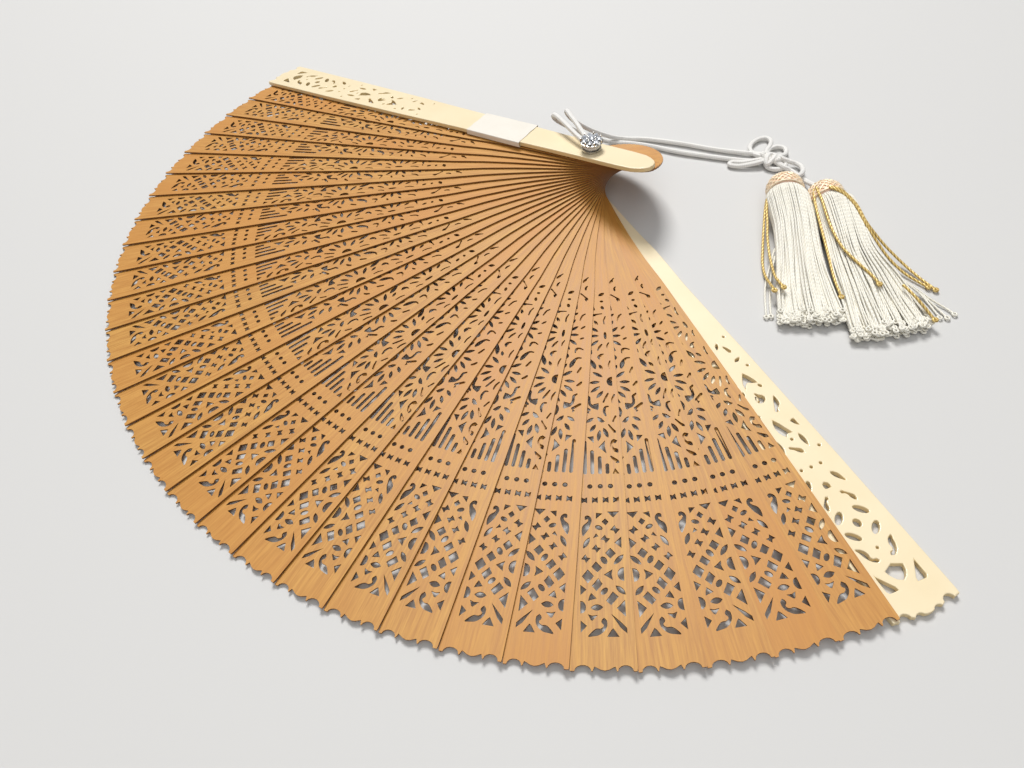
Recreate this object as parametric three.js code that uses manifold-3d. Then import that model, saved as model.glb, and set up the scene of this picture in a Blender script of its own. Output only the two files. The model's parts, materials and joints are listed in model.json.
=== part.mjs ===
// Sandalwood folding fan, lying open on a flat surface. Millimetres, +Z up.
// Thirty-one sticks turn about one rivet: a plain lower guard, 29 thin blades and an upper guard.
// Each stick slopes from its height in the stack at the rivet down to the surface at its tip, and is
// rolled a few degrees about its own length, so that it lies over its neighbour as a shingle does.
// A jewelled cap holds a cord with a decorative knot and two tassels.

import * as THREE from "three";
import { mergeVertices } from "three/addons/utils/BufferGeometryUtils.js";
import Module from "manifold-3d";

// Driving dimensions
const BLADE_COUNT = 29;
const BLADE_LENGTH = 198; // from the rivet's axis to the tip
const GUARD_LENGTH = 199.5;
const HEAD_LENGTH = 28.5; // from the rivet's axis back to the rounded head
const BLADE_THICKNESS = 0.5;
const GUARD_THICKNESS = 1.8;
const STACK_PITCH = 0.7; // rise from one blade to the next at the rivet
const FIRST_GAP = 0.5; // lower guard to the lowest blade, at the rivet
const BAND_ROOM = 0.35; // extra room under the upper guard for its paper band
const OPEN_STEP = THREE.MathUtils.degToRad(5.022); // between neighbouring sticks, fan open
const TIP_HEIGHT = 0.8; // of a blade's mid-plane over the surface
const LOWEST_TIP_HEIGHT = 2.15; // of the blade that lies over the lower guard
const TIP_HEIGHT_STEP = 0.12;
const UPPER_GUARD_TIP_HEIGHT = 0.9;
const SHINGLE = 1.3; // share of the stack pitch that a stick's far edge is lifted by
const PIVOT = new THREE.Vector3(-0.54, 84.62, 0);
const PIN_RADIUS = 1.5;
const STICK_HOLE_RADIUS = 2.2;
const GUARD_HOLE_RADIUS = 1.8;
const TAIL_RADIUS = 2.8; // the pin's flat tail, sunk into the lower guard
const CORD_DIAMETER = 2;
const CLEARANCE = 0.3;

// Half widths of a stick: [distance from the rivet towards the tip, half width]
const BLADE_OUTLINE = [
  [-26.8, 3.4],
  [-22, 5.3],
  [-8, 5.9],
  [0, 6],
  [15, 5.2],
  [30, 4.7],
  [45, 4.8],
  [58, 5.6],
  [100, 6.75],
  [160, 8],
];
const GUARD_OUTLINE = [
  [-26.8, 3.4],
  [-22, 5.6],
  [0, 6.2],
  [30, 7],
  [42, 7.8],
  [63, 7.6],
  [103, 8.9],
  [150, 10],
];
// Scalloped tips: [distance in from the end, half width], from the middle outwards
const BLADE_TIP = [
  [0, 0.9],
  [1.2, 2.3],
  [0, 3.3],
  [1.5, 5.6],
  [0, 8.5],
];
const GUARD_TIP = [
  [0, 1.4],
  [1.6, 3.2],
  [0, 5.4],
  [1.8, 8],
  [1, 10.6],
];

const { cos, sin, PI } = Math;
const wasm = await Module();
wasm.setup();

const fan = new THREE.Group();

const finishes = {
  sandalwood: { color: 0xc48a50, roughness: 0.62, metalness: 0 },
  ivory: { color: 0xf6e8c4, roughness: 0.32, metalness: 0 },
  paper: { color: 0xf4f2ea, roughness: 0.85, metalness: 0 },
  silver: { color: 0xd9dade, roughness: 0.2, metalness: 1 },
  crystal: { color: 0xe9f0f6, roughness: 0.05, metalness: 0 },
  cord: { color: 0xf3efe6, roughness: 0.8, metalness: 0 },
  tasselCap: { color: 0xd9b79c, roughness: 0.7, metalness: 0 },
  skirt: { color: 0xf2ead8, roughness: 0.75, metalness: 0 },
};

function addPiece(name, geometry, finish, place) {
  const mesh = new THREE.Mesh(geometry, new THREE.MeshStandardMaterial(finishes[finish]));
  mesh.name = name;
  if (place) mesh.applyMatrix4(place);
  fan.add(mesh);
}

function toSolid(geometry) {
  geometry.deleteAttribute("normal");
  geometry.deleteAttribute("uv");
  const merged = mergeVertices(geometry, 1e-4);
  return new wasm.Manifold(
    new wasm.Mesh({
      numProp: 3,
      vertProperties: merged.attributes.position.array,
      triVerts: new Uint32Array(merged.index.array),
    }),
  );
}

function toGeometry(solid) {
  const mesh = solid.getMesh();
  const geometry = new THREE.BufferGeometry();
  geometry.setAttribute("position", new THREE.BufferAttribute(mesh.vertProperties, 3));
  geometry.setIndex(new THREE.BufferAttribute(mesh.triVerts, 1));
  geometry.computeVertexNormals();
  return geometry;
}

// Sticks: flat plates with +X towards the tip and the rivet's hole at the origin
function stickShape(length, outline, tip, holeRadius) {
  const side = [...outline];
  for (const [inset, halfWidth] of [...tip].reverse()) side.push([length - inset, halfWidth]);
  const near = side.map(([x, halfWidth]) => new THREE.Vector2(x, -halfWidth));
  const far = side.map(([x, halfWidth]) => new THREE.Vector2(x, halfWidth)).reverse();
  const shape = new THREE.Shape([new THREE.Vector2(-HEAD_LENGTH, 0), ...near, ...far]);
  shape.holes.push(new THREE.Path().absarc(0, 0, holeRadius, 0, 2 * PI, true));
  return shape;
}

function plate(shape, thickness, base) {
  const geometry = new THREE.ExtrudeGeometry(shape, {
    depth: thickness,
    bevelEnabled: false,
    curveSegments: 5,
  });
  return geometry.translate(0, 0, base);
}

// Height of a stick's mid-plane at the rivet and at its tip. Stick 0 is the upper guard.
function heightAtRivet(index) {
  const lift = index === 0 ? BAND_ROOM : 0;
  const lowest = GUARD_THICKNESS + FIRST_GAP + BLADE_THICKNESS / 2;
  return lowest + (BLADE_COUNT - index) * STACK_PITCH + lift;
}

function heightAtTip(index) {
  if (index === 0) return UPPER_GUARD_TIP_HEIGHT;
  return Math.max(TIP_HEIGHT, LOWEST_TIP_HEIGHT - TIP_HEIGHT_STEP * (BLADE_COUNT - index));
}

function azimuthOf(index) {
  return 1.5 * PI + (index - (BLADE_COUNT + 1) / 2) * OPEN_STEP;
}

function stickPlace(index) {
  const azimuth = azimuthOf(index);
  const slope = (heightAtRivet(index) - heightAtTip(index)) / BLADE_LENGTH;
  const next = Math.min(index + 1, BLADE_COUNT);
  const last = Math.min(index, BLADE_COUNT - 1);
  const tipRise = heightAtTip(next) - heightAtTip(last);
  const roll = (SHINGLE * STACK_PITCH + tipRise) / (BLADE_LENGTH * OPEN_STEP);
  const along = new THREE.Vector3(cos(azimuth) * cos(slope), sin(azimuth) * cos(slope), -sin(slope));
  const across = new THREE.Vector3(-sin(azimuth), cos(azimuth), roll);
  across.addScaledVector(along, -across.dot(along)).normalize();
  const up = new THREE.Vector3().crossVectors(along, across);
  const place = new THREE.Matrix4().makeBasis(along, across, up);
  return place.setPosition(PIVOT.x, PIVOT.y, heightAtRivet(index));
}

const bladeShape = stickShape(BLADE_LENGTH, BLADE_OUTLINE, BLADE_TIP, STICK_HOLE_RADIUS);
for (let index = 1; index <= BLADE_COUNT; index += 1) {
  const name = "blade_" + String(index).padStart(2, "0");
  const blade = plate(bladeShape, BLADE_THICKNESS, -BLADE_THICKNESS / 2);
  addPiece(name, blade, "sandalwood", stickPlace(index));
}

const upperGuardShape = stickShape(GUARD_LENGTH, GUARD_OUTLINE, GUARD_TIP, STICK_HOLE_RADIUS);
const upperGuard = plate(upperGuardShape, GUARD_THICKNESS, -BLADE_THICKNESS / 2);
const upperGuardPlace = stickPlace(0);
addPiece("guard_top", upperGuard, "ivory", upperGuardPlace);

// The lower guard lies flat, with the pin's tail sunk into its underside
const lowerGuardShape = stickShape(GUARD_LENGTH, GUARD_OUTLINE, GUARD_TIP, GUARD_HOLE_RADIUS);
const SINK_DEPTH = 1;
const SINK_RADIUS = TAIL_RADIUS + CLEARANCE;
const sink = new THREE.CylinderGeometry(SINK_RADIUS, SINK_RADIUS, 2 * SINK_DEPTH, 16);
sink.rotateX(PI / 2);
const lowerGuard = toSolid(plate(lowerGuardShape, GUARD_THICKNESS, 0)).subtract(toSolid(sink));
const lowerGuardPlace = new THREE.Matrix4().makeRotationZ(azimuthOf(BLADE_COUNT + 1));
lowerGuardPlace.setPosition(PIVOT.x, PIVOT.y, 0);
addPiece("guard_bottom", toGeometry(lowerGuard), "ivory", lowerGuardPlace);

// Paper band: a thin sleeve round the upper guard
const BAND_START = 32;
const BAND_LENGTH = 29;
const BAND_WALL = 0.14;
const BAND_SLACK = 0.08;
const BAND_HALF_WIDTH = 8;
const bandLow = -BLADE_THICKNESS / 2 - BAND_SLACK;
const bandHigh = GUARD_THICKNESS - BLADE_THICKNESS / 2 + BAND_SLACK;
function bandRectangle(Kind, margin) {
  const side = BAND_HALF_WIDTH + margin;
  const path = new Kind();
  path.moveTo(-side, bandLow - margin);
  path.lineTo(side, bandLow - margin);
  path.lineTo(side, bandHigh + margin);
  path.lineTo(-side, bandHigh + margin);
  path.closePath();
  return path;
}
const bandShape = bandRectangle(THREE.Shape, BAND_WALL);
bandShape.holes.push(bandRectangle(THREE.Path, 0));
const band = plate(bandShape, BAND_LENGTH, BAND_START);
const yzToX = new THREE.Matrix4().makeBasis(
  new THREE.Vector3(0, 1, 0),
  new THREE.Vector3(0, 0, 1),
  new THREE.Vector3(1, 0, 0),
);
addPiece("paper_band", band.applyMatrix4(yzToX), "paper", upperGuardPlace);

// Rivet pin, washer and jewelled cap, stacked on the rivet's axis
const WASHER_BASE = 25.4;
const WASHER_TOP = 26;
const WASHER_RADIUS = 4;
const CAP_BASE = 28.2;
const CAP_HEIGHT = 1.6;
const CAP_RADIUS = 4.8;
const STONE_RADIUS = 2.6;
const STONE_HEIGHT = 1.4;
const PIN_TOP = CAP_BASE - CLEARANCE;

function turned(points, segments = 20) {
  const profile = points.map(([radius, height]) => new THREE.Vector2(radius, height));
  return new THREE.LatheGeometry(profile, segments).rotateX(PI / 2);
}

const onPivot = new THREE.Matrix4().makeTranslation(PIVOT);
const pin = turned([
  [0, 0.1],
  [TAIL_RADIUS, 0.1],
  [TAIL_RADIUS, SINK_DEPTH - CLEARANCE],
  [PIN_RADIUS, SINK_DEPTH - CLEARANCE],
  [PIN_RADIUS, PIN_TOP],
  [0, PIN_TOP],
]);
addPiece("rivet_pin", pin, "silver", onPivot);
const washer = turned([
  [PIN_RADIUS + CLEARANCE, WASHER_BASE],
  [WASHER_RADIUS, WASHER_BASE],
  [WASHER_RADIUS, WASHER_TOP],
  [PIN_RADIUS + CLEARANCE, WASHER_TOP],
  [PIN_RADIUS + CLEARANCE, WASHER_BASE],
]);
addPiece("rivet_washer", washer, "silver", onPivot);
const cap = turned([
  [0, CAP_BASE],
  [CAP_RADIUS, CAP_BASE],
  [CAP_RADIUS, CAP_BASE + 0.5],
  [0.8 * CAP_RADIUS, CAP_BASE + 0.8 * CAP_HEIGHT],
  [STONE_RADIUS + CLEARANCE, CAP_BASE + CAP_HEIGHT],
  [0, CAP_BASE + CAP_HEIGHT],
]);
addPiece("jewel_setting", cap, "silver", onPivot);
const stoneBase = CAP_BASE + CAP_HEIGHT + CLEARANCE;
const stone = turned(
  [
    [0, stoneBase],
    [STONE_RADIUS, stoneBase],
    [STONE_RADIUS, stoneBase + 0.4],
    [0.55 * STONE_RADIUS, stoneBase + STONE_HEIGHT],
    [0, stoneBase + STONE_HEIGHT],
  ],
  10,
);
addPiece("jewel_stone", stone, "crystal", onPivot);

// Cords: 8-sided tubes along hand-laid routes
function tube(points, diameter, steps) {
  const section = new THREE.Shape();
  section.absarc(0, 0, diameter / 2, 0, 2 * PI, false);
  const route = new THREE.CatmullRomCurve3(points.map(([x, y, z]) => new THREE.Vector3(x, y, z)));
  return new THREE.ExtrudeGeometry(section, { steps, extrudePath: route, curveSegments: 4 });
}

// From the rivet, over the far edge of the upper guard, down past the heads and along the surface
const STRAND_FRONT = [
  [-3.4, 85.6, 27.1],
  [-9.5, 87.6, 27.3],
  [-16, 90, 27.3],
  [-22.6, 92.3, 27.1],
  [-27.6, 94.6, 26.2],
  [-30.2, 96.6, 23.4],
  [-30.6, 99.5, 19.4],
  [-30.2, 103.6, 15.2],
  [-29.4, 108.6, 11],
  [-28, 114.4, 7],
  [-26.2, 120.6, 3.4],
  [-23.6, 126.6, 1.3],
  [-17.5, 132.9, 1.15],
  [-5.2, 141.3, 1.15],
  [9.3, 149.6, 1.15],
  [22.2, 158.2, 1.5],
];
const STRAND_BACK = [
  [-3.4, 83.6, 27.1],
  [-9.8, 84.6, 27.3],
  [-16.6, 86, 27.3],
  [-23.6, 87.6, 27],
  [-29.2, 89.2, 25.8],
  [-32.6, 91.2, 22.8],
  [-34.2, 94.4, 19],
  [-34.6, 99, 14.8],
  [-34, 104.2, 10.4],
  [-32.4, 110, 6],
  [-30, 115.6, 2.6],
  [-26.2, 120.2, 1.15],
  [-18.6, 126.4, 1.15],
  [-10.6, 131.2, 1.15],
  [-0.2, 136.3, 1.15],
  [17.2, 147.7, 1.15],
  [25.4, 153.6, 1.5],
];
addPiece("cord_strand_front", tube(STRAND_FRONT, CORD_DIAMETER, 36), "cord");
addPiece("cord_strand_back", tube(STRAND_BACK, CORD_DIAMETER, 36), "cord");

// The knot: a flattened core with four ears of the same cord
const KNOT_CENTRE = [31.4, 160.2, 3.1];
const KNOT_SIZE = [5.6, 5.2, 2.9];
const LONG_EAR = [
  [30, 162, 3],
  [23, 163.4, 2.4],
  [17.6, 162.4, 1.4],
  [16, 166.4, 1.3],
  [18.6, 171, 1.3],
  [23.6, 169, 2],
  [30, 162, 3.4],
];
const TOP_EAR = [
  [31, 162, 3],
  [27.2, 167.6, 2],
  [29, 171.6, 1.3],
  [33, 170.6, 1.3],
  [33.6, 166, 2],
  [32, 162, 3.2],
];
const SMALL_EAR = [
  [32, 158, 3],
  [35.4, 154.6, 1.4],
  [39.4, 155.2, 1.3],
  [40.6, 159.4, 1.4],
  [33, 160, 3],
];
const FLAT_EAR = [
  [32, 158, 3],
  [29.6, 151.6, 2],
  [25, 146.4, 1.3],
  [21, 144.8, 1.3],
  [22.6, 148.6, 1.3],
  [31, 158, 3.2],
];
const core = new THREE.SphereGeometry(1, 14, 8).scale(...KNOT_SIZE).translate(...KNOT_CENTRE);
let knot = toSolid(core);
for (const ear of [LONG_EAR, TOP_EAR, SMALL_EAR, FLAT_EAR]) {
  knot = knot.add(toSolid(tube(ear, CORD_DIAMETER, 14)));
}

// The two ends of the cord, from the knot to the crowns of the tassels
const TAIL_1 = [
  [37, 163.8, 2.4],
  [39.4, 165.6, 1.7],
  [42.8, 164.8, 2.2],
  [46.6, 160.6, 3.8],
  [49, 155.4, 5.6],
  [49.6, 150.2, 6.8],
  [48.6, 145.2, 7.4],
];
const TAIL_2 = [
  [38, 159, 2.2],
  [41, 160.6, 1.2],
  [45.6, 159.6, 1.25],
  [50.6, 157.3, 2.8],
  [55.4, 154.4, 5],
  [59.6, 152.2, 7],
  [61.2, 151.3, 7.3],
];
const TAIL_STEPS = 12;
const room = (points) => toSolid(tube(points, CORD_DIAMETER + 2 * CLEARANCE, TAIL_STEPS));
const strandEnds = [STRAND_FRONT, STRAND_BACK].map((strand) => strand.slice(-4));
for (const route of [...strandEnds, TAIL_1, TAIL_2]) knot = knot.subtract(room(route));
addPiece("knot", toGeometry(knot), "cord");
addPiece("cord_tail_1", tube(TAIL_1, CORD_DIAMETER, TAIL_STEPS), "cord");
addPiece("cord_tail_2", tube(TAIL_2, CORD_DIAMETER, TAIL_STEPS), "cord");

// Tassels: a domed cap lying on its side and a skirt spread on the surface. The skirt's outline is
// [distance from the crown, distance across].
const TASSEL_CAP = [
  [0, 0],
  [3.2, 0.4],
  [5.6, 2],
  [6.8, 4.6],
  [7, 8.4],
  [6, 12],
  [5, 13.5],
  [0, 13.5],
];
const SKIRT_HEIGHT = 6.5;
const SKIRT_BASE = 0.1;
const TASSELS = [
  {
    crown: [49.2, 144.4, 7.4],
    angle: -44,
    skirt: [
      [13.8, -6.4],
      [50, -9],
      [76.3, -13.4],
      [76.5, 0],
      [73.6, 13],
      [45, 8.6],
      [13.8, 6.4],
    ],
  },
  {
    crown: [62.2, 150.8, 7.4],
    angle: -31,
    skirt: [
      [13.8, -6.4],
      [50, -10.6],
      [74.3, -17],
      [76.5, 0],
      [72.4, 21.4],
      [45, 9.6],
      [13.8, 6.4],
    ],
  },
];

TASSELS.forEach(({ crown, angle, skirt }, index) => {
  const name = "tassel_" + (index + 1);
  const [x, y, z] = crown;
  const onTable = new THREE.Matrix4().makeRotationZ(THREE.MathUtils.degToRad(angle));
  onTable.setPosition(x, y, 0);
  const dome = turned(TASSEL_CAP, 16).rotateY(PI / 2).translate(0, 0, z);
  addPiece(name + "_cap", dome, "tasselCap", onTable);
  const spread = new THREE.Shape(skirt.map(([along, across]) => new THREE.Vector2(along, across)));
  addPiece(name + "_skirt", plate(spread, SKIRT_HEIGHT, SKIRT_BASE), "skirt", onTable);
});

export default fan;
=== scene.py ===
# A sandalwood folding fan, open on a table: 29 pierced blades between two ivory coloured guards, all on
# one rivet, with a jewelled cap, a knotted cord and two tassels. Metres, +Z up, in the frame of the part.
import json
import math
import random

import bmesh
import bpy
from mathutils import Matrix, Vector


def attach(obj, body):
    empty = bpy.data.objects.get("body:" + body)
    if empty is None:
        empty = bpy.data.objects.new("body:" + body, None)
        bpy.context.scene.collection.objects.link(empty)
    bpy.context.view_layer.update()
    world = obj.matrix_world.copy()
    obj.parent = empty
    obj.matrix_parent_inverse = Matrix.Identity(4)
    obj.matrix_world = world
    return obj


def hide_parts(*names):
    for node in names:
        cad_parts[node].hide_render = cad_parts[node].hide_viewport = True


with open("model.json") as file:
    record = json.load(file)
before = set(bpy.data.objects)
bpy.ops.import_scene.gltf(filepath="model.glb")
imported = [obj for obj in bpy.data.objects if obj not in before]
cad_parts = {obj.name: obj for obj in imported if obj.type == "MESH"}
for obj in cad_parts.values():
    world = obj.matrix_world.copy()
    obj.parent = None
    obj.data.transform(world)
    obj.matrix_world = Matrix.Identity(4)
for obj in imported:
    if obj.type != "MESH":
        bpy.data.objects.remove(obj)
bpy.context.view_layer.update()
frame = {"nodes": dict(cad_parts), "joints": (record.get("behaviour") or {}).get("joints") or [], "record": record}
MM = 0.001
behaviour = frame["record"]["behaviour"]
fold = next(joint for joint in frame["joints"] if joint["name"] == "fan_fold")
pivot = Vector((fold["pos_m"][0], fold["pos_m"][1], 0))

# Camera: above the table at the fan's right, looking down across the leaf at the rivet, with the slight
# tilt of a hand-held shot.
camera_data = bpy.data.cameras.new("camera")
camera_data.lens = 27.07
camera_data.sensor_width = 36
camera_data.clip_start = 0.01
camera = bpy.data.objects.new("camera", camera_data)
bpy.context.scene.collection.objects.link(camera)
camera_right = Vector((0.5998, 0.7975, -0.0646)).normalized()
camera_back = Vector((0.549, -0.3514, 0.7584))
camera_back = (camera_back - camera_right * camera_back.dot(camera_right)).normalized()
camera_up = camera_back.cross(camera_right)
camera_turn = Matrix((camera_right, camera_up, camera_back)).transposed().to_4x4()
camera.matrix_world = Matrix.Translation(pivot + Vector((0.2029, -0.178, 0.1982))) @ camera_turn
bpy.context.scene.camera = camera
bpy.context.scene.view_settings.view_transform = "Standard"


# Cords: two strands of soft white 2 mm braid from one loop round the rivet. They come out from under the
# jewelled cap, arch down over the heads of the sticks to the table, pass through the knot, and each goes
# into the crown of a tassel.
class Wire:
    """A socket of a material's nodes. Sums on it add Math nodes, and node() adds any other node."""

    def __init__(self, tree, socket=None):
        self.tree = tree
        self.socket = socket

    def node(self, kind, settings=None, inputs=None, output=0):
        made = self.tree.nodes.new("ShaderNode" + kind)
        for name, value in (settings or {}).items():
            setattr(made, name, value)
        for name, value in (inputs or {}).items():
            if isinstance(value, Wire):
                self.tree.links.new(value.socket, made.inputs[name])
            else:
                made.inputs[name].default_value = value
        return Wire(self.tree, made.outputs[output] if len(made.outputs) else None)

    def math(self, operation, first, second=0.0, clamp=False):
        return self.node("Math", {"operation": operation, "use_clamp": clamp}, {0: first, 1: second})

    def __add__(self, other):
        return self.math("ADD", self, other)

    def __sub__(self, other):
        return self.math("SUBTRACT", self, other)

    def __mul__(self, other):
        return self.math("MULTIPLY", self, other)

    def clamped(self):
        return self.math("ADD", self, 0.0, clamp=True)

    def sine(self):
        return self.math("SINE", self)

    def mix(self, low, high):
        """low where this mask is 0 and high where it is 1, both colours."""
        sockets = {0: self, 6: low, 7: high}
        colours = {key: (*value, 1) if isinstance(value, tuple) else value for key, value in sockets.items()}
        return self.node("Mix", {"data_type": "RGBA"}, colours, output=2)

    def noise(self, scale, detail=2.0, roughness=0.5):
        inputs = {"Vector": self, "Scale": scale, "Detail": detail, "Roughness": roughness}
        return self.node("TexNoise", {}, inputs)

    def part(self, axis):
        return self.node("SeparateXYZ", {}, {0: self}, output=axis)

    def bump(self, height, distance, strength=1.0):
        return self.node("Bump", {}, {"Height": height, "Distance": distance, "Strength": strength})

    def stored(self, name, output=1):
        """An attribute of the mesh. Output 1 is its vector, and output 2 its number."""
        return self.node("Attribute", {"attribute_name": name}, output=output)

    def coordinates(self):
        return self.node("TexCoord", output=3)


def new_finish(name):
    material = bpy.data.materials.new(name)
    material.use_nodes = True
    material.node_tree.nodes.clear()
    return material, Wire(material.node_tree)


def surface(nodes, **sockets):
    """Ends a material in one Principled shader. Sockets are named with underscores for spaces."""
    inputs = {}
    for name, value in sockets.items():
        inputs[name.replace("_", " ")] = (*value, 1) if isinstance(value, tuple) and len(value) == 3 else value
    shader = nodes.node("BsdfPrincipled", {}, inputs)
    nodes.node("OutputMaterial", {}, {"Surface": shader})


def link(name, data):
    made = bpy.data.objects.new(name, data)
    bpy.context.scene.collection.objects.link(made)
    return made


def finish_piece(piece, body, slot, *nodes):
    """The piece moves with body and stands for the named CAD nodes. The slot is not used."""
    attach(piece, body)
    if nodes:
        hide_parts(*nodes)


def smooth_route(points, steps):
    """Points along a smooth curve through the given ones, with steps to each span."""
    route = [Vector(point) for point in points]
    ends = [2 * route[0] - route[1], *route, 2 * route[-1] - route[-2]]
    smooth = []
    for before, start, stop, after in zip(ends, ends[1:], ends[2:], ends[3:]):
        for step in range(steps):
            t = step / steps
            straight = start * 2 + (stop - before) * t
            bend = (before * 2 - start * 5 + stop * 4 - after) * t**2
            twist = (start * 3 - before - stop * 3 + after) * t**3
            smooth.append((straight + bend + twist) / 2)
    return smooth + [route[-1]]


def group_socket(tree, name, kind, in_out="INPUT"):
    return tree.interface.new_socket(name=name, in_out=in_out, socket_type="NodeSocket" + kind)


class Bench:
    """A Geometry Nodes tree with named inputs. An input filled with (node, output) is linked to it."""

    def __init__(self, name, entries):
        self.tree = bpy.data.node_groups.new(name, "GeometryNodeTree")
        self.entry = {}
        for entry, kind in [("Geometry", "Geometry"), *entries]:
            self.entry[entry] = group_socket(self.tree, entry, kind).identifier
        group_socket(self.tree, "Geometry", "Geometry", "OUTPUT")
        self.given = self.add("NodeGroupInput")

    def fill(self, node, entry, value):
        if isinstance(value, tuple):
            source, output = value
            self.tree.links.new(source.outputs[output], node.inputs[entry])
        else:
            node.inputs[entry].default_value = value

    def add(self, kind, values=None, **settings):
        made = self.tree.nodes.new(kind)
        for name, value in settings.items():
            setattr(made, name, value)
        for name, value in (values or {}).items():
            self.fill(made, name, value)
        return made

    def capture(self, kind, geometry, value):
        """Holds a value on a geometry's points. Output 0 is the geometry, and output 1 the value."""
        made = self.add("GeometryNodeCaptureAttribute", domain="POINT")
        made.capture_items.new(kind, "held")
        self.fill(made, 0, geometry)
        self.fill(made, 1, value)
        return made

    def store(self, name, kind, domain, geometry, value):
        """Keeps a value on the finished mesh, where a material can read it by name."""
        values = {"Name": name, "Geometry": geometry, "Value": value}
        return self.add("GeometryNodeStoreNamedAttribute", values, data_type=kind, domain=domain)

    def end(self, result):
        """Paints the result with the Finish input and makes it real."""
        paint = self.add("GeometryNodeSetMaterial", {"Geometry": result, "Material": (self.given, "Finish")})
        real = self.add("GeometryNodeRealizeInstances", {0: (paint, 0)})
        self.add("NodeGroupOutput", {0: (real, 0)})

    def use(self, worker, values):
        """Gives the worker object a modifier that runs this tree."""
        modifier = worker.modifiers.new(self.tree.name, "NODES")
        modifier.node_group = self.tree
        for name, value in values.items():
            modifier[self.entry[name]] = value


def turn_out(work, mesh):
    """Writes a bmesh into the mesh with all its faces outwards, and frees it."""
    bmesh.ops.recalc_face_normals(work, faces=work.faces)
    work.to_mesh(mesh)
    work.free()


def made_mesh(worker, name):
    """The evaluated result of an object's modifiers as a plain mesh, with the object removed."""
    evaluated = worker.evaluated_get(bpy.context.evaluated_depsgraph_get())
    mesh = bpy.data.meshes.new_from_object(evaluated)
    mesh.name = name
    bpy.data.objects.remove(worker)
    work = bmesh.new()
    work.from_mesh(mesh)
    turn_out(work, mesh)
    return mesh


# A round thread along every spline of a drawing. It stores, as "lay", the length along the thread and the
# place round it.
threader = Bench("threader", [
    ("Drawing", "Object"), ("Radius", "Float"), ("Sides", "Int"), ("Finish", "Material"),
])
given = threader.given
paths = threader.add("GeometryNodeObjectInfo", {"Object": (given, "Drawing")})
run = threader.add("GeometryNodeSplineParameter")
line = threader.capture("FLOAT", (paths, "Geometry"), (run, "Length"))
size = {"Resolution": (given, "Sides"), "Radius": (given, "Radius")}
section = threader.add("GeometryNodeCurvePrimitiveCircle", size, mode="RADIUS")
position = threader.add("GeometryNodeInputPosition")
ring = threader.capture("VECTOR", (section, 0), (position, 0))
sweep = {"Curve": (line, 0), "Profile Curve": (ring, 0), "Fill Caps": True}
spun = threader.add("GeometryNodeCurveToMesh", sweep)
parts = threader.add("ShaderNodeSeparateXYZ", {0: (ring, 1)})
lay = threader.add("ShaderNodeCombineXYZ", {"X": (line, 1), "Y": (parts, "X"), "Z": (parts, "Y")})
rounded = threader.add("GeometryNodeSetShadeSmooth", {0: (spun, 0)})
marked = threader.store("lay", "FLOAT_VECTOR", "POINT", (rounded, 0), (lay, 0))
threader.end((marked, 0))


def poly_drawing(name, dimensions, outlines, closed):
    """A curve of straight-sided splines. Each outline is a list of (x, y, z) in metres."""
    drawing = bpy.data.curves.new(name, "CURVE")
    drawing.dimensions = dimensions
    for outline in outlines:
        spline = drawing.splines.new("POLY")
        spline.points.add(len(outline) - 1)
        for point, place in zip(spline.points, outline):
            point.co = (*place, 1)
        spline.use_cyclic_u = closed
    return drawing


def thread_piece(name, routes, radius, sides, finish):
    """One mesh of round threads along the routes, which are lists of points in metres."""
    paths = link(name + "_paths", poly_drawing(name, "3D", routes, False))
    worker = link(name + "_worker", bpy.data.meshes.new(name))
    threader.use(worker, {"Drawing": paths, "Radius": radius, "Sides": sides, "Finish": finish})
    mesh = made_mesh(worker, name)
    bpy.data.objects.remove(paths)
    return link(name, mesh)


BRAID_WINDING = 4200  # radians of the plait to each metre of cord
PLAITS_ROUND = 4
cord_finish, nodes = new_finish("white_braid")
lay = nodes.stored("lay")
braid_run = lay.part(0) * BRAID_WINDING
braid_round = nodes.math("ARCTAN2", lay.part(1), lay.part(2)) * PLAITS_ROUND
plaits = (braid_run + braid_round).sine() * (braid_run - braid_round).sine()
soil = lay.noise(90.0, 3.0)
braid_colour = soil.mix((0.86, 0.85, 0.82), (0.76, 0.74, 0.69))
# The low parts of the plait pattern are painted a darker grey-cream: painted shade in the grooves of the braid.
shaded = (plaits * 0.5 + 0.5).clamped().mix((0.74, 0.71, 0.66), braid_colour)
surface(
    nodes,
    Base_Color=shaded,
    Roughness=0.55,
    Sheen_Weight=0.25,
    Normal=nodes.bump(plaits, 0.00012, 0.6),
)

CORD_RADIUS = 1.0 * MM
STRAND_FRONT = [
    (-3.4, 85.6, 27.1), (-9.5, 87.6, 27.3), (-16, 90, 27.3), (-22.6, 92.3, 27.1), (-27.6, 94.6, 26.2),
    (-30.2, 96.6, 23.4), (-30.6, 99.5, 19.4), (-30.2, 103.6, 15.2), (-29.4, 108.6, 11), (-28, 114.4, 7),
    (-26.2, 120.6, 3.4), (-23.6, 126.6, 1.3), (-17.5, 132.9, 1.15), (-5.2, 141.3, 1.15), (9.3, 149.6, 1.15),
    (22.2, 158.2, 1.5), (30, 161.6, 3),
]
STRAND_BACK = [
    (-3.4, 83.6, 27.1), (-9.8, 84.6, 27.3), (-16.6, 86, 27.3), (-23.6, 87.6, 27), (-29.2, 89.2, 25.8),
    (-32.6, 91.2, 22.8), (-34.2, 94.4, 19), (-34.6, 99, 14.8), (-34, 104.2, 10.4), (-32.4, 110, 6),
    (-30, 115.6, 2.6), (-26.2, 120.2, 1.15), (-18.6, 126.4, 1.15), (-10.6, 131.2, 1.15), (-0.2, 136.3, 1.15),
    (17.2, 147.7, 1.15), (25.4, 153.6, 1.5), (31.4, 158, 3),
]
TAIL_1 = [
    (37, 163.8, 2.4), (39.4, 165.6, 1.7), (42.8, 164.8, 2.2), (46.6, 160.6, 3.8), (49, 155.4, 5.6),
    (49.6, 150.2, 6.8), (48.6, 145.2, 7.4),
]
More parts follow.
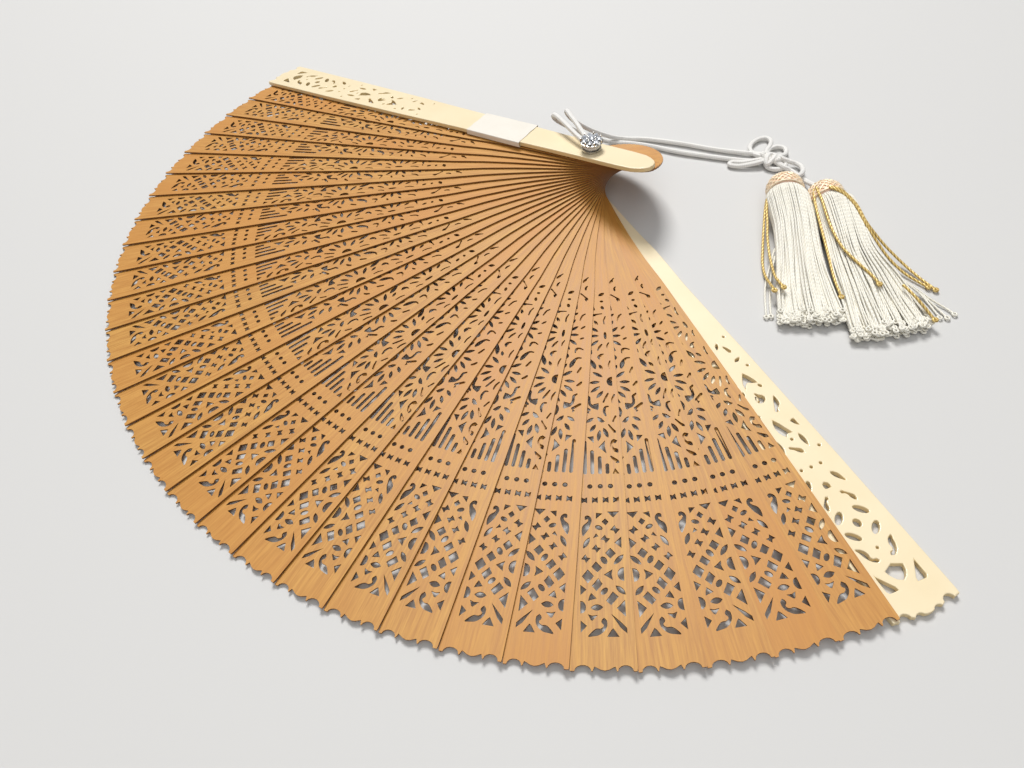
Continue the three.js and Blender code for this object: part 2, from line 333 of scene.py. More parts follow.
TAIL_2 = [
    (38, 159, 2.2), (41, 160.6, 1.2), (45.6, 159.6, 1.25), (50.6, 157.3, 2.8), (55.4, 154.4, 5),
    (59.6, 152.2, 7), (61.2, 151.3, 7.3),
]


def route_length(route):
    return sum((after - before).length for before, after in zip(route, route[1:]))


cords = []
for name, tail_node, points in (
    ("cord_front", "cord_tail_1", STRAND_FRONT + TAIL_1),
    ("cord_back", "cord_tail_2", STRAND_BACK + TAIL_2),
):
    route = smooth_route([Vector(point) * MM for point in points], 6)
    cord = thread_piece(name, [route], CORD_RADIUS, 14, cord_finish)
    finish_piece(cord, "lower_guard", "cord", name.replace("cord_", "cord_strand_"), tail_node)
    cords.append((cord, route))


# Blades: 29 thin sandalwood slips, stamped through with a lattice at the tip and flowers lower down. Each
# second slip is the mirror image of the first, so that two neighbours make one pattern. Each lies at its
# own height and tilt on the rivet.
def turned(x, r, points, turn):
    """Outline points round (x, r): x is across the stick and r along it, turn is from x towards r."""
    aim = math.radians(turn)
    cos, sin = math.cos(aim), math.sin(aim)
    return [(x + along * cos - across * sin, r + along * sin + across * cos) for along, across in points]


def oval(x, r, length, width, turn=0.0, points=12):
    """A round-ended opening."""
    angles = [math.tau * step / points for step in range(points)]
    return turned(x, r, [(length / 2 * math.cos(a), width / 2 * math.sin(a)) for a in angles], turn)


def leaf(x, r, length, width, turn=0.0):
    """A petal, pointed at both ends."""
    outline = []
    steps = 7
    for side in (1, -1):
        for step in range(steps):
            t = step / steps
            outline.append((side * length * (t - 0.5), -side * width / 2 * math.sin(math.pi * t) ** 0.8))
    return turned(x, r, outline, turn)


def bow(x, r, wide, tall, turn=0.0):
    """A bow tie: a square with two opposite sides pinched in."""
    half = [(-wide, -tall), (0, -0.42 * tall), (wide, -tall)]
    return turned(x, r, half + [(-a, -b) for a, b in half], turn)


def moon(x, low, high, bulge):
    """Half a moon with its straight side at x."""
    steps = 8
    middle, half = (low + high) / 2, (high - low) / 2
    turns = [math.pi * step / steps for step in range(steps + 1)]
    return [(x + bulge * math.sin(turn), middle - half * math.cos(turn)) for turn in turns]


def slot(x, low, high, width, lean=0.0):
    """A long narrow opening with round ends. lean moves its upper end across."""
    steps = 4
    outline = []
    for end, centre, shift in ((0, high - width / 2, lean), (math.pi, low + width / 2, 0)):
        for step in range(steps + 1):
            angle = end + math.pi * step / steps
            outline.append((x + shift + width / 2 * math.cos(angle), centre + width / 2 * math.sin(angle)))
    return outline


def stroke(*marks):
    """A swelling line, such as a comma or a scroll. Each mark is (x, r, width)."""
    line = smooth_route([Vector(mark) for mark in marks], 3)
    left, right = [], []
    for index, mark in enumerate(line):
        ahead = line[min(index + 1, len(line) - 1)]
        behind = line[max(index - 1, 0)]
        along = Vector((ahead.x - behind.x, ahead.y - behind.y)).normalized()
        half = max(mark.z, 0.12) / 2
        left.append((mark.x - along.y * half, mark.y + along.x * half))
        right.append((mark.x + along.y * half, mark.y - along.x * half))
    tip = Vector((line[-1].x - line[-2].x, line[-1].y - line[-2].y)).normalized() * line[-1].z / 2
    tail = Vector((line[0].x - line[1].x, line[0].y - line[1].y)).normalized() * line[0].z / 2
    end = (line[-1].x + tip.x, line[-1].y + tip.y)
    start = (line[0].x + tail.x, line[0].y + tail.y)
    return right + [end] + left[::-1] + [start]


LATTICE = [
    stroke((-3.5, 189.0, 0.2), (-2.4, 188.4, 1.1), (-1.3, 187.9, 1.6), (-0.3, 187.6, 1.0), (0.6, 186.8, 0.6),
           (0.85, 185.9, 0.7), (0.55, 185.1, 1.25), (0.5, 184.6, 0.8)),
    [(1.36, 189.1), (4.2, 189.1), (3.1, 187.5), (2.8, 187.1), (2.4, 187.5)],
    [(6.35, 188.1), (4.9, 186.7), (2.45, 183.0), (5.0, 185.5), (6.3, 186.9)],
    [(-5.6, 187.9), (-4.2, 186.25), (-5.6, 185.0)],
    [(-3.6, 183.2), (-2.9, 184.6), (-2.6, 184.7), (-1.3, 183.4), (-2.6, 183.6)],
    moon(-5.6, 179.5, 182.7, 1.25),
    leaf(-1.3, 181.2, 3.0, 1.5, -3),
    [(-3.5, 179.2), (-1.5, 178.6), (-2.75, 177.3), (-3.2, 178.2)],
    [(-5.6, 177.5), (-4.2, 176.1), (-5.6, 174.9)],
    [(6.2, 183.6), (6.15, 179.3), (4.15, 181.4)],
    [(2.5, 180.4), (1.36, 179.3), (3.07, 176.9), (4.4, 178.2)],
    oval(0.8, 176.6, 2.2, 1.25, -48),
    [(-1.3, 176.4), (-2.4, 175.0), (-0.8, 173.0), (0.2, 174.5)],
    [(-3.6, 174.1), (-5.07, 172.2), (-3.6, 170.4), (-2.1, 172.2)],
    leaf(5.2, 176.3, 3.3, 1.2, 45),
    [(3.07, 173.2), (1.0, 171.8), (3.07, 170.4), (2.75, 171.8)],
    moon(6.15, 169.8, 173.5, -1.5),
    [(-0.96, 170.9), (-2.4, 169.4), (-1.3, 168.0), (0.2, 169.8)],
    oval(0.93, 167.5, 2.3, 1.35, 58),
    leaf(5.0, 167.3, 3.7, 1.2, -47),
    bow(-4.1, 166.95, 0.8, 0.8, 40),
    bow(-1.1, 163.9, 0.8, 0.8, 40),
    bow(1.5, 160.95, 0.85, 0.8, 40),
    bow(4.3, 158.0, 0.9, 0.85, 40),
    [(2.7, 166.8), (1.5, 165.3), (2.75, 163.9), (4.1, 165.4)],
    [(5.85, 163.6), (4.2, 162.1), (5.9, 160.4)],
    leaf(-3.85, 162.1, 3.6, 1.1, -62),
    [(-1.85, 160.5), (-0.6, 160.0), (-1.1, 159.3)],
    stroke((-4.75, 159.7, 0.2), (-4.45, 158.4, 1.2), (-3.95, 157.1, 1.7), (-3.2, 156.0, 1.0), (-2.75, 155.0, 0.7),
           (-3.0, 154.2, 0.8), (-3.6, 154.0, 1.2), (-3.9, 154.3, 0.6)),
    oval(-0.25, 157.3, 2.0, 1.15, 25),
    [(1.64, 156.4), (0.75, 155.4), (1.6, 154.5), (2.4, 155.5)],
    [(-0.96, 154.3), (-0.86, 152.6), (0.7, 152.8)],
    [(3.9, 153.9), (2.4, 152.2), (5.5, 152.2)],
]
BORDER = [bow(x, 148.2, 0.75, 0.85) for x in (-4.3, -1.2, 1.95, 4.95)]
BORDER += [oval(x, 143.5, 1.3, 1.3) for x in (-2.6, 0.5, 3.5)]
BORDER += [slot(x, low, 139.1, 0.85) for x, low in ((-3.95, 126.9), (-1.75, 130.6), (0.55, 132.9), (2.8, 135.6))]
BORDER.append([(4.5, 139.1), (6.15, 139.1), (5.1, 137.4)])
FLOWER_TOP = [
    stroke((6.0, 135.0, 0.8), (5.4, 134.5, 1.1), (4.6, 133.6, 0.6), (4.0, 132.9, 0.2)),
    [(2.6, 131.6), (0.46, 129.4), (2.25, 127.1), (2.1, 129.2)],
    stroke((6.0, 131.3, 0.5), (5.6, 130.7, 1.2), (4.9, 130.2, 0.6), (4.3, 129.2, 0.35), (4.3, 128.2, 0.35),
           (4.7, 127.5, 0.9), (5.2, 127.3, 1.4), (5.6, 127.2, 0.8)),
    [(-1.2, 127.6), (-3.0, 125.5), (-1.3, 125.3)],
    leaf(0.55, 125.0, 4.0, 1.05, 99),
    leaf(2.7, 124.0, 3.7, 1.1, 70),
    leaf(-1.3, 122.1, 3.0, 1.0, -57),
    leaf(-2.2, 118.9, 2.7, 1.0, -37),
    [(2.35, 119.6), (1.5, 119.9), (0.7, 119.3), (0.3, 118.3), (0.35, 117.8), (1.3, 118.3)],
    stroke((5.5, 123.7, 0.7), (4.6, 122.5, 0.45), (3.7, 120.9, 0.2)),
    stroke((5.1, 119.6, 0.3), (5.95, 117.6, 0.35)),
    [(-2.5, 116.2), (-3.0, 115.7), (-2.4, 115.2)],
    stroke((-2.3, 114.8, 0.7), (-4.65, 113.0, 0.7)),
    stroke((2.85, 117.3, 0.3), (2.4, 115.6, 0.6), (2.8, 113.9, 0.5), (3.7, 113.6, 0.3)),
    [(0.3, 114.8), (0.62, 114.3), (0.57, 112.3), (-0.4, 112.5), (-1.3, 112.9), (-1.85, 112.3), (-2.0, 111.3),
     (-2.0, 109.7), (-2.3, 109.2), (-3.3, 108.6), (-3.4, 109.0), (-2.6, 109.8), (-2.6, 111.4), (-2.4, 112.7),
     (-1.5, 113.9)],
    stroke((2.25, 111.8, 0.3), (3.0, 110.2, 0.5), (3.8, 108.3, 0.3)),
    stroke((5.15, 112.1, 0.3), (5.2, 110.5, 0.45), (5.8, 108.9, 0.3)),
]
DAISY = [
    moon(5.25, 101.4, 105.1, -1.6),
    leaf(1.2, 108.6, 3.4, 0.95, -53),
    leaf(-0.25, 106.4, 3.7, 1.0, -38),
    leaf(-0.43, 103.4, 3.2, 1.05, -6),
    leaf(0.64, 100.1, 3.7, 1.05, 35),
    stroke((-3.1, 105.2, 0.5), (-3.8, 104.6, 0.7), (-4.3, 103.8, 0.5)),
    stroke((-2.8, 99.6, 0.5), (-3.2, 98.7, 0.55), (-3.7, 97.5, 0.4)),
    stroke((-0.1, 97.3, 0.4), (-0.4, 96.3, 1.2), (-0.85, 95.1, 1.2), (-1.5, 93.9, 0.8), (-2.3, 93.2, 0.5),
           (-3.4, 93.2, 0.3)),
    leaf(1.75, 96.8, 2.1, 0.8, 62),
    stroke((4.6, 97.7, 0.2), (4.5, 96.0, 0.35), (4.9, 94.3, 0.2)),
    stroke((1.6, 93.3, 0.3), (1.4, 92.4, 1.1), (1.9, 91.4, 0.6), (2.7, 91.1, 0.25)),
    stroke((-1.3, 90.6, 0.4), (-1.6, 89.1, 0.7), (-2.6, 88.8, 0.4), (-3.8, 89.4, 0.2)),
]
SMALL_DAISY = [
    oval(3.65, 82.5, 3.1, 0.75, 88),
    stroke((1.0, 89.2, 0.3), (1.6, 87.8, 0.6), (2.35, 86.6, 0.3)),
    stroke((4.2, 88.4, 0.2), (4.2, 87.2, 0.3), (4.7, 86.0, 0.2)),
    leaf(-0.07, 85.9, 3.5, 0.95, -44),
    leaf(-0.2, 82.5, 3.0, 1.0, 0),
    leaf(0.0, 79.5, 3.1, 1.0, 40),
    leaf(0.6, 76.2, 2.3, 0.8, 62),
    stroke((3.5, 77.0, 0.2), (3.4, 75.2, 0.35), (3.9, 73.4, 0.2)),
    oval(-3.0, 84.2, 1.4, 0.55, 27),
    oval(-3.0, 79.0, 1.8, 0.55, 45),
    stroke((-1.7, 75.4, 0.3), (-2.3, 73.3, 0.45), (-3.2, 72.4, 0.3)),
    stroke((-0.5, 71.9, 0.25), (0.1, 72.4, 0.9), (0.9, 72.1, 0.4), (2.7, 71.9, 0.2)),
    [(-0.2, 69.8), (0.35, 69.9), (-0.1, 67.6)],
    oval(3.0, 68.9, 1.6, 0.85, 70),
    oval(2.8, 65.7, 1.0, 0.8, 0),
    leaf(2.8, 62.1, 2.3, 1.2, -35),
    stroke((-3.2, 65.6, 0.6), (-3.1, 64.8, 1.0), (-2.7, 64.0, 0.4), (-1.8, 63.0, 0.25), (-0.9, 62.1, 0.4)),
    stroke((-2.5, 60.1, 0.35), (-2.5, 59.0, 0.5), (-2.9, 58.2, 0.3)),
    stroke((-1.4, 56.0, 0.5), (-1.8, 55.2, 0.9), (-2.3, 54.3, 0.4), (-2.9, 53.5, 0.2)),
]
BLADE_SIDES = [
    (-26.8, 3.4), (-24.6, 4.5), (-22, 5.3), (-18, 5.7), (-8, 5.9), (0, 6), (8, 5.6), (15, 5.2), (22, 4.9),
    (30, 4.7), (38, 4.7), (45, 4.8), (52, 5.2), (58, 5.6), (100, 6.75), (160, 8), (197.3, 8.6),
]
BLADE_LENGTH = 198.0
HEAD_LENGTH = 28.5
HEAD_SHOULDER = (1.9, -28.1)
RIVET_HOLE = 2.2


def scallop(start, stop, depth, top, steps=7):
    """A round bite out of a stick's end, between two places across it."""
    middle, half = (start + stop) / 2, (stop - start) / 2
    turns = [math.pi * step / steps for step in range(steps + 1)]
    return [(middle - half * math.cos(turn), top - depth * math.sin(turn)) for turn in turns]


def stick_outline(sides, end):
    """Counter-clockwise from the round head: one side, the shaped end, the other side."""
    near = [HEAD_SHOULDER] + [(half, r) for r, half in sides]
    far = [(-x, r) for x, r in near]
    return [(0, -HEAD_LENGTH)] + near + end + far[::-1]


centre_lobe = [
    (3.45, 198.1), (3.0, 196.9), (2.5, 197.1), (1.5, 197.65), (0.4, 197.9), (-0.8, 197.65), (-1.8, 197.1),
    (-2.3, 196.9), (-2.8, 198.1),
]
BLADE_END = [(8.5, BLADE_LENGTH)] + scallop(3.7, 7.6, 1.5, BLADE_LENGTH)[::-1] + centre_lobe
BLADE_END += scallop(-7.4, -3.1, 1.5, BLADE_LENGTH)[::-1] + [(-8.5, BLADE_LENGTH)]


def opened(outline, by):
    """An opening cut wider by the same amount all round."""
    area = sum(x * next_r - next_x * r for (x, r), (next_x, next_r) in zip(outline, outline[1:] + outline[:1]))
    side = math.copysign(by, area)
    wider = []
    for before, (x, r), after in zip(outline[-1:] + outline, outline, outline[1:] + outline[:1]):
        first = Vector((x - before[0], r - before[1])).normalized()
        second = Vector((after[0] - x, after[1] - r)).normalized()
        out = Vector((first.y + second.y, -first.x - second.x))
        if out.length < 0.01:
            continue
        reach = min(1.5, 2 / out.length)
        out.normalize()
        wider.append((x + out.x * side * reach, r + out.y * side * reach))
    return wider


PUNCH_WEAR = 0.14
hole = [oval(0, 0, 2 * RIVET_HOLE, 2 * RIVET_HOLE, points=20)]
figures = LATTICE + BORDER + FLOWER_TOP + DAISY + SMALL_DAISY
blade_openings = [opened(figure, PUNCH_WEAR) for figure in figures] + hole


def stick_drawing(name, outlines, mirrored=False):
    """The outline and openings as a flat curve: +X towards the tip, +Y across, in metres."""
    side = -1 if mirrored else 1
    flat = [[(r * MM, side * x * MM, 0) for x, r in outline] for outline in outlines]
    return poly_drawing(name, "2D", flat, True)


OPEN_STEP = 5.022  # degrees between neighbouring sticks, fan open
STEPS_TO_MIDDLE = 15
closed_turn = Matrix.Rotation(math.radians(270 + STEPS_TO_MIDDLE * OPEN_STEP), 4, "Z")
follow = {coupling["joint"]: coupling["ratio"] for coupling in behaviour["couplings"]}


def stick_place(joint):
    """Where a stick's own frame lies when the fan is open: its place in the shut stack, turned back."""
    angle = math.radians(fold["range_deg"][1]) * follow.get(joint["name"], 1.0)
    open_turn = Matrix.Rotation(-angle, 4, Vector(joint["axis"]))
    return Matrix.Translation(joint["pos_m"]) @ open_turn @ closed_turn


blade_joints = [joint for joint in frame["joints"] if joint is not fold]
BLADE_THICKNESS = 0.5 * MM

wood, nodes = new_finish("sandalwood")
grain = nodes.stored("grain")
stretched = grain.node("VectorMath", {"operation": "MULTIPLY"}, {0: grain, 1: (0.06, 1.0, 1.0)})
fibres = stretched.noise(1500.0, 3.0, 0.6)
figure = stretched.noise(260.0, 2.0)
clouds = grain.noise(14.0, 2.0)
tan = figure.mix((0.52, 0.25, 0.052), (0.66, 0.37, 0.088))
streaked = (fibres * 2.6 - 0.8).clamped().mix((0.40, 0.175, 0.032), tan)
aged = (clouds * 2.2 - 0.75).clamped().mix(streaked, (0.50, 0.21, 0.036))
# The cut walls of each blade, at its edges and round its openings, are painted almost black-brown: painted shade on
# the walls.
wall = nodes.stored("wall", 2)
surface(
    nodes,
    Base_Color=(wall * 0.8).mix(aged, (0.10, 0.035, 0.01)),
    Roughness=fibres * 0.2 + 0.42,
    Normal=nodes.bump(fibres, 0.00006, 0.5),
)


# A slip is a drawing filled in and given its thickness. Its cut walls are marked, where the finishes paint shade, and
# so is its grain.
slips = Bench("stamped_slip", [
    ("Drawing", "Object"), ("Thickness", "Float"), ("Grain shift", "Vector"),
    ("Turn", "Rotation"), ("Place", "Vector"), ("Finish", "Material"),
])
given = slips.given
drawing = slips.add("GeometryNodeObjectInfo", {"Object": (given, "Drawing")})
fill = slips.add("GeometryNodeFillCurve", {"Curve": (drawing, "Geometry")})
half = slips.add("ShaderNodeMath", {0: (given, "Thickness"), 1: -0.5}, operation="MULTIPLY")
down = slips.add("ShaderNodeCombineXYZ", {"Z": (half, 0)})
lower = slips.add("GeometryNodeTransform", {"Geometry": (fill, "Mesh"), "Translation": (down, 0)})
growth = {"Mesh": (lower, 0), "Offset Scale": (given, "Thickness"), "Individual": False}
extrude = slips.add("GeometryNodeExtrudeMesh", growth, mode="FACES")
walls = slips.store("wall", "FLOAT", "FACE", (extrude, "Mesh"), (extrude, "Side"))
back = slips.add("GeometryNodeFlipFaces", {"Mesh": (lower, 0)})
both = slips.add("GeometryNodeJoinGeometry", {0: (back, 0)})
slips.fill(both, 0, (walls, 0))
merge = slips.add("GeometryNodeMergeByDistance", {"Geometry": (both, 0), "Distance": 1e-6})
position = slips.add("GeometryNodeInputPosition")
shifted = slips.add("ShaderNodeVectorMath", {0: (position, 0), 1: (given, "Grain shift")}, operation="ADD")
marked = slips.store("grain", "FLOAT_VECTOR", "POINT", (merge, 0), (shifted, 0))
where = {"Geometry": (marked, 0), "Rotation": (given, "Turn"), "Translation": (given, "Place")}
slips.end((slips.add("GeometryNodeTransform", where), 0))


def stamped_slip(name, drawing, thickness, grain_shift, place, finish):
    """A worker object whose modifier makes the slip, ready for more modifiers or made_mesh."""
    worker = link(name + "_worker", bpy.data.meshes.new(name))
    slips.use(worker, {
        "Drawing": drawing,
        "Thickness": thickness,
        "Grain shift": grain_shift,
        "Turn": place.to_euler(),
        "Place": place.translation,
        "Finish": finish,
    })
    return worker


blade_drawings = {}
for mirrored in (False, True):
    outlines = [stick_outline(BLADE_SIDES, BLADE_END)] + blade_openings
    drawing = link("blade_drawing_" + str(int(mirrored)), stick_drawing("blade_drawing", outlines, mirrored))
    blade_drawings[mirrored] = drawing

for number, joint in enumerate(blade_joints, start=1):
    name = joint["child"]
    drawing = blade_drawings[number % 2 == 0]
    shift = (number * 0.31, number * 0.17, number * 0.05)
    worker = stamped_slip(name, drawing, BLADE_THICKNESS, shift, stick_place(joint), wood)
    blade = link(name + "_pierced", made_mesh(worker, name + "_pierced"))
    finish_piece(blade, name, "sandalwood", name)
for drawing in blade_drawings.values():
    bpy.data.objects.remove(drawing)

# Guards: two outer sticks of cream plastic in the look of ivory, moulded with rounded edges and pierced
# through. The lower one lies flat on the table, and the upper one closes the stack.
GUARD_THICKNESS = 1.8 * MM
GUARD_SIDES = [
    (-26.8, 3.4), (-24.6, 4.7), (-22, 5.6), (-16, 6.0), (0, 6.2), (15, 6.5), (30, 7), (42, 7.8), (52, 7.75),
    (63, 7.6), (80, 8.1), (103, 8.9), (150, 10), (196.5, 10.7),
]
guard_half_end = [(10.6, 198.2), (9.4, 198.3)] + scallop(5.3, 8.7, 1.6, 198.6)[::-1]
guard_half_end += [(4.7, 198.9)] + scallop(1.7, 4.2, 0.8, 199.2)[::-1] + [(0.9, 199.4)]
guard_end = guard_half_end + [(0, 199.5)] + [(-x, r) for x, r in guard_half_end[::-1]]


def both_sides(outlines):
    return outlines + [[(-x, r) for x, r in outline] for outline in outlines]


guard_openings = both_sides([
    [(6.4, 185.8), (6.4, 190.4), (5.9, 191.2), (3.2, 191.2), (3.4, 190.2)],
    stroke((5.8, 177.3, 0.4), (4.9, 178.3, 1.3), (4.4, 179.6, 1.6), (4.15, 180.8, 1.0), (3.4, 181.7, 0.9),
           (2.5, 182.0, 1.2)),
    oval(3.75, 173.6, 4.5, 2.0, -45, 16),
    oval(3.75, 167.2, 4.5, 2.0, 45, 16),
    stroke((4.7, 163.8, 0.6), (4.5, 162.7, 1.3), (3.9, 161.5, 0.6), (3.2, 160.7, 0.5), (2.6, 160.3, 1.0)),
    stroke((4.2, 153.6, 1.0), (5.0, 155.0, 1.5), (6.1, 157.2, 0.3)),
    oval(3.4, 149.4, 0.9, 0.9, points=10),
    stroke((5.9, 121.9, 0.3), (5.4, 123.6, 1.3), (4.9, 124.9, 1.6), (3.9, 126.1, 0.9), (3.2, 127.4, 0.9)),
    [(4.7, 132.5), (5.3, 132.1), (6.2, 132.0), (6.3, 134.8), (5.9, 134.5), (5.4, 133.9)],
    stroke((3.1, 96.6, 0.5), (3.6, 97.8, 0.9), (4.0, 99.2, 1.1)),
    stroke((3.3, 103.9, 0.7), (4.1, 103.5, 1.1), (5.2, 102.9, 0.3)),
    leaf(4.1, 139.9, 4.8, 1.3, 88),
    oval(5.8, 92.4, 0.8, 0.8, points=8),
    oval(5.8, 107.0, 0.9, 0.9, points=8),
    oval(7.0, 143.8, 0.9, 0.9, points=8),
])
guard_openings += [
    [(0, 184.3), (-2.9, 185.6), (-2.4, 187.2), (-1.4, 188.6), (0, 189.4), (1.4, 188.6), (2.4, 187.2),
     (2.9, 185.6)],
    oval(0, 170.4, 2.6, 2.2, 90, 14),
    oval(0, 178.9, 0.8, 0.8, points=8),
    [(0, 155.4), (0.8, 156.0), (1.0, 156.8), (0.9, 157.6), (-0.9, 157.6), (-1.0, 156.8), (-0.8, 156.0)],
    oval(0, 149.5, 0.9, 0.9, points=10),
    leaf(1.2, 95.5, 3.0, 0.9, 118),
    [(-0.5, 115.5), (-0.1, 113.6), (0.6, 112.2), (1.5, 110.7), (2.3, 109.5), (3.3, 111.2), (4.1, 113.2),
     (4.4, 114.7), (3.8, 114.5), (2.9, 114.2), (1.9, 113.5), (1.2, 113.6), (0.4, 114.3)],
    oval(4.5, 116.2, 1.5, 0.9, 60, 10),
    stroke((1.0, 118.6, 0.4), (1.4, 119.6, 1.0), (2.0, 120.9, 2.2), (1.0, 122.1, 1.4), (0.2, 122.0, 0.7)),
    [(-0.2, 130.0), (-0.9, 131.5), (-1.3, 133.3), (-1.2, 135.0), (-0.6, 136.4), (0.1, 137.2), (0.6, 136.4),
     (1.2, 136.1), (2.6, 136.3), (1.9, 134.5), (1.0, 132.2)],
    oval(0.9, 138.6, 0.9, 0.9, points=8),
    stroke((-1.6, 141.2, 0.7), (-0.5, 142.0, 0.8), (0.6, 143.0, 1.4), (1.1, 143.7, 0.9)),
    leaf(-3.4, 112.8, 3.4, 1.3, 60),
    leaf(-2.8, 117.6, 2.8, 1.1, 120),
]

ivory, nodes = new_finish("ivory_cream")
grain = nodes.stored("grain")
swirl = grain.noise(60.0, 3.0)
pores = grain.noise(2600.0, 2.0)
# The walls of the guard's openings and edges are painted a darker, warmer cream: painted shade on the walls.
wall = nodes.stored("wall", 2)
cream = swirl.mix((0.78, 0.64, 0.40), (0.85, 0.73, 0.50))
surface(
    nodes,
    Base_Color=(wall * 0.6).mix(cream, (0.70, 0.52, 0.22)),
    Roughness=pores * 0.14 + 0.26,
    Coat_Weight=0.15,
    Normal=nodes.bump(pores, 0.00003, 0.4),
)

EDGE_ROUNDING = 0.32 * MM


def moulded_guard(name, hole_radius, place):
    hole = oval(0, 0, 2 * hole_radius, 2 * hole_radius, points=24)
    outlines = [stick_outline(GUARD_SIDES, guard_end)] + guard_openings + [hole]
    drawing = link(name + "_drawing", stick_drawing(name, outlines))
    worker = stamped_slip(name, drawing, GUARD_THICKNESS, (1.7, 0.4, 0.2), place, ivory)
    rounding = worker.modifiers.new("rounding", "BEVEL")
    rounding.width = EDGE_ROUNDING
    rounding.segments = 3
    rounding.limit_method = "ANGLE"
    rounding.angle_limit = math.radians(50)
    rounding.use_clamp_overlap = False
    rounding.loop_slide = False
    mesh = made_mesh(worker, name)
    bpy.data.objects.remove(drawing)
    return mesh


GUARD_LIFT = (GUARD_THICKNESS - BLADE_THICKNESS) / 2
upper_place = stick_place(fold) @ Matrix.Translation((0, 0, GUARD_LIFT))
guard = link("guard_top_pierced", moulded_guard("guard_top_pierced", 2.2, upper_place))
finish_piece(guard, "upper_guard", "ivory", "guard_top")

# The lower guard's hole is wide enough to take the flat tail of the rivet, out of sight below the blades.
lower_place = Matrix.Translation(pivot + Vector((0, 0, GUARD_THICKNESS / 2))) @ closed_turn
guard = link("guard_bottom_pierced", moulded_guard("guard_bottom_pierced", 3.1, lower_place))
finish_piece(guard, "lower_guard", "ivory", "guard_bottom")

# Paper band: a strip of white paper wound once round the upper guard, a little askew, and glued on the
# underside with a short overlap.
BAND_LENGTH = 28.8 * MM
BAND_MIDDLE = 46.2 * MM
BAND_SKEW = -0.14
BAND_WALL = 0.14 * MM
BAND_CORNER = 0.35 * MM
BAND_SLACK = 0.08 * MM
BAND_STEPS = 26
GUARD_HALF_WIDTH = 8.0 * MM  # under the band
band_half = (GUARD_HALF_WIDTH + BAND_WALL, GUARD_THICKNESS / 2 + BAND_SLACK + BAND_WALL)


def band_loop(half_wide, half_high, corner):
    """Points round a rounded rectangle, from the middle of its underside."""
    flat_wide = half_wide - corner
    under = [(flat_wide * step / 12, -half_high) for step in range(13)]
    arc = [math.radians(15 * step) for step in range(1, 6)]
    right = [(flat_wide + corner * math.sin(a), -half_high + corner - corner * math.cos(a)) for a in arc]
    side = [(half_wide, -half_high + corner), (half_wide, half_high - corner)]
    top_right = [(y, -z) for y, z in right[::-1]]
    half_round = under + right + side + top_right + [(y, half_high) for y, _ in under[::-1]]
    return half_round + [(-y, z) for y, z in half_round[-2:0:-1]]


random.seed(12)
band_sheet = bpy.data.meshes.new("paper_band_wrap")
outer = band_loop(*band_half, BAND_CORNER)
inner = band_loop(band_half[0] - BAND_WALL, band_half[1] - BAND_WALL, BAND_CORNER - BAND_WALL)
edge_shift, swell_shift, cross_shift = [random.uniform(-1, 1) * 3 for _ in range(3)]
vertices, faces = [], []
for ring in range(BAND_STEPS + 1):
    t = ring / BAND_STEPS
    for y, z in outer + inner:
        edge = 0.12 * MM * math.sin(y / MM * 0.9 + edge_shift) * (2 * t - 1)
        r = BAND_MIDDLE + BAND_LENGTH * (t - 0.5) + BAND_SKEW * y + edge
        flat = abs(z) > band_half[1] - 2 * BAND_WALL
        swell = 0.05 * MM * math.sin(5 * t + swell_shift) * math.cos(y / MM * 0.45 + cross_shift)
        lift = (swell + 0.05 * MM) * (1 if z > 0 else -0.3) if flat else 0
        vertices.append(upper_place @ Vector((r, y, z + lift)))
around = len(outer)


def band_face(*corners):
    """A face of the wrap. Each corner is (ring, 0 outside or 1 inside, place round the ring)."""
    faces.append([(ring * 2 + shell) * around + place % around for ring, shell, place in corners])


for place in range(around):
    ahead = place + 1
    for ring in range(BAND_STEPS):
        band_face((ring, 0, place), (ring, 0, ahead), (ring + 1, 0, ahead), (ring + 1, 0, place))
        band_face((ring, 1, place), (ring + 1, 1, place), (ring + 1, 1, ahead), (ring, 1, ahead))
    for ring in (0, BAND_STEPS):
        band_face((ring, 0, place), (ring, 1, place), (ring, 1, ahead), (ring, 0, ahead))
band_sheet.from_pydata(vertices, [], faces)
work = bmesh.new()
work.from_mesh(band_sheet)
turn_out(work, band_sheet)
band_sheet.shade_smooth()
band_sheet.set_sharp_from_angle(angle=math.radians(50))
paper, nodes = new_finish("band_paper")
place = nodes.coordinates()
pulp = place.noise(1400.0, 4.0, 0.7)
clouding = place.noise(160.0, 2.0)
surface(
    nodes,
    Base_Color=(clouding * 0.5 + pulp * 0.5).clamped().mix((0.68, 0.63, 0.54), (0.78, 0.74, 0.66)),
    Roughness=pulp * 0.2 + 0.36,
    Normal=nodes.bump(pulp, 0.00005, 0.5),
)
band_sheet.materials.append(paper)
band = link("paper_band_wrap", band_sheet)
finish_piece(band, "upper_guard", "paper", "paper_band")

# Rivet and jewel: a silvery pin and washer through all the sticks, under a cap with a flower of foil
# backed crystals held by claws.
silver, nodes = new_finish("rivet_silver")
scuffs = nodes.coordinates().noise(900.0, 4.0, 0.65)
surface(
    nodes,
    Base_Color=scuffs.mix((0.42, 0.40, 0.36), (0.74, 0.73, 0.70)),
    Metallic=1.0,
    Roughness=scuffs * 0.25 + 0.14,
    Normal=nodes.bump(scuffs, 0.00003, 0.5),
)
crystal, nodes = new_finish("foil_crystal")
glints = nodes.coordinates().noise(700.0, 1.0)
surface(
    nodes,
    Base_Color=glints.mix((0.62, 0.66, 0.72), (0.95, 0.96, 0.98)),
    Metallic=glints * 0.5 + 0.3,
    Roughness=0.06,
    Coat_Weight=1.0,
)
for node in ("rivet_pin", "rivet_washer"):
    frame["nodes"][node].data.materials.clear()
    frame["nodes"][node].data.materials.append(silver)

CAP_BASE = 28.2 * MM
PETALS = 7
PETAL_RING = 2.95 * MM


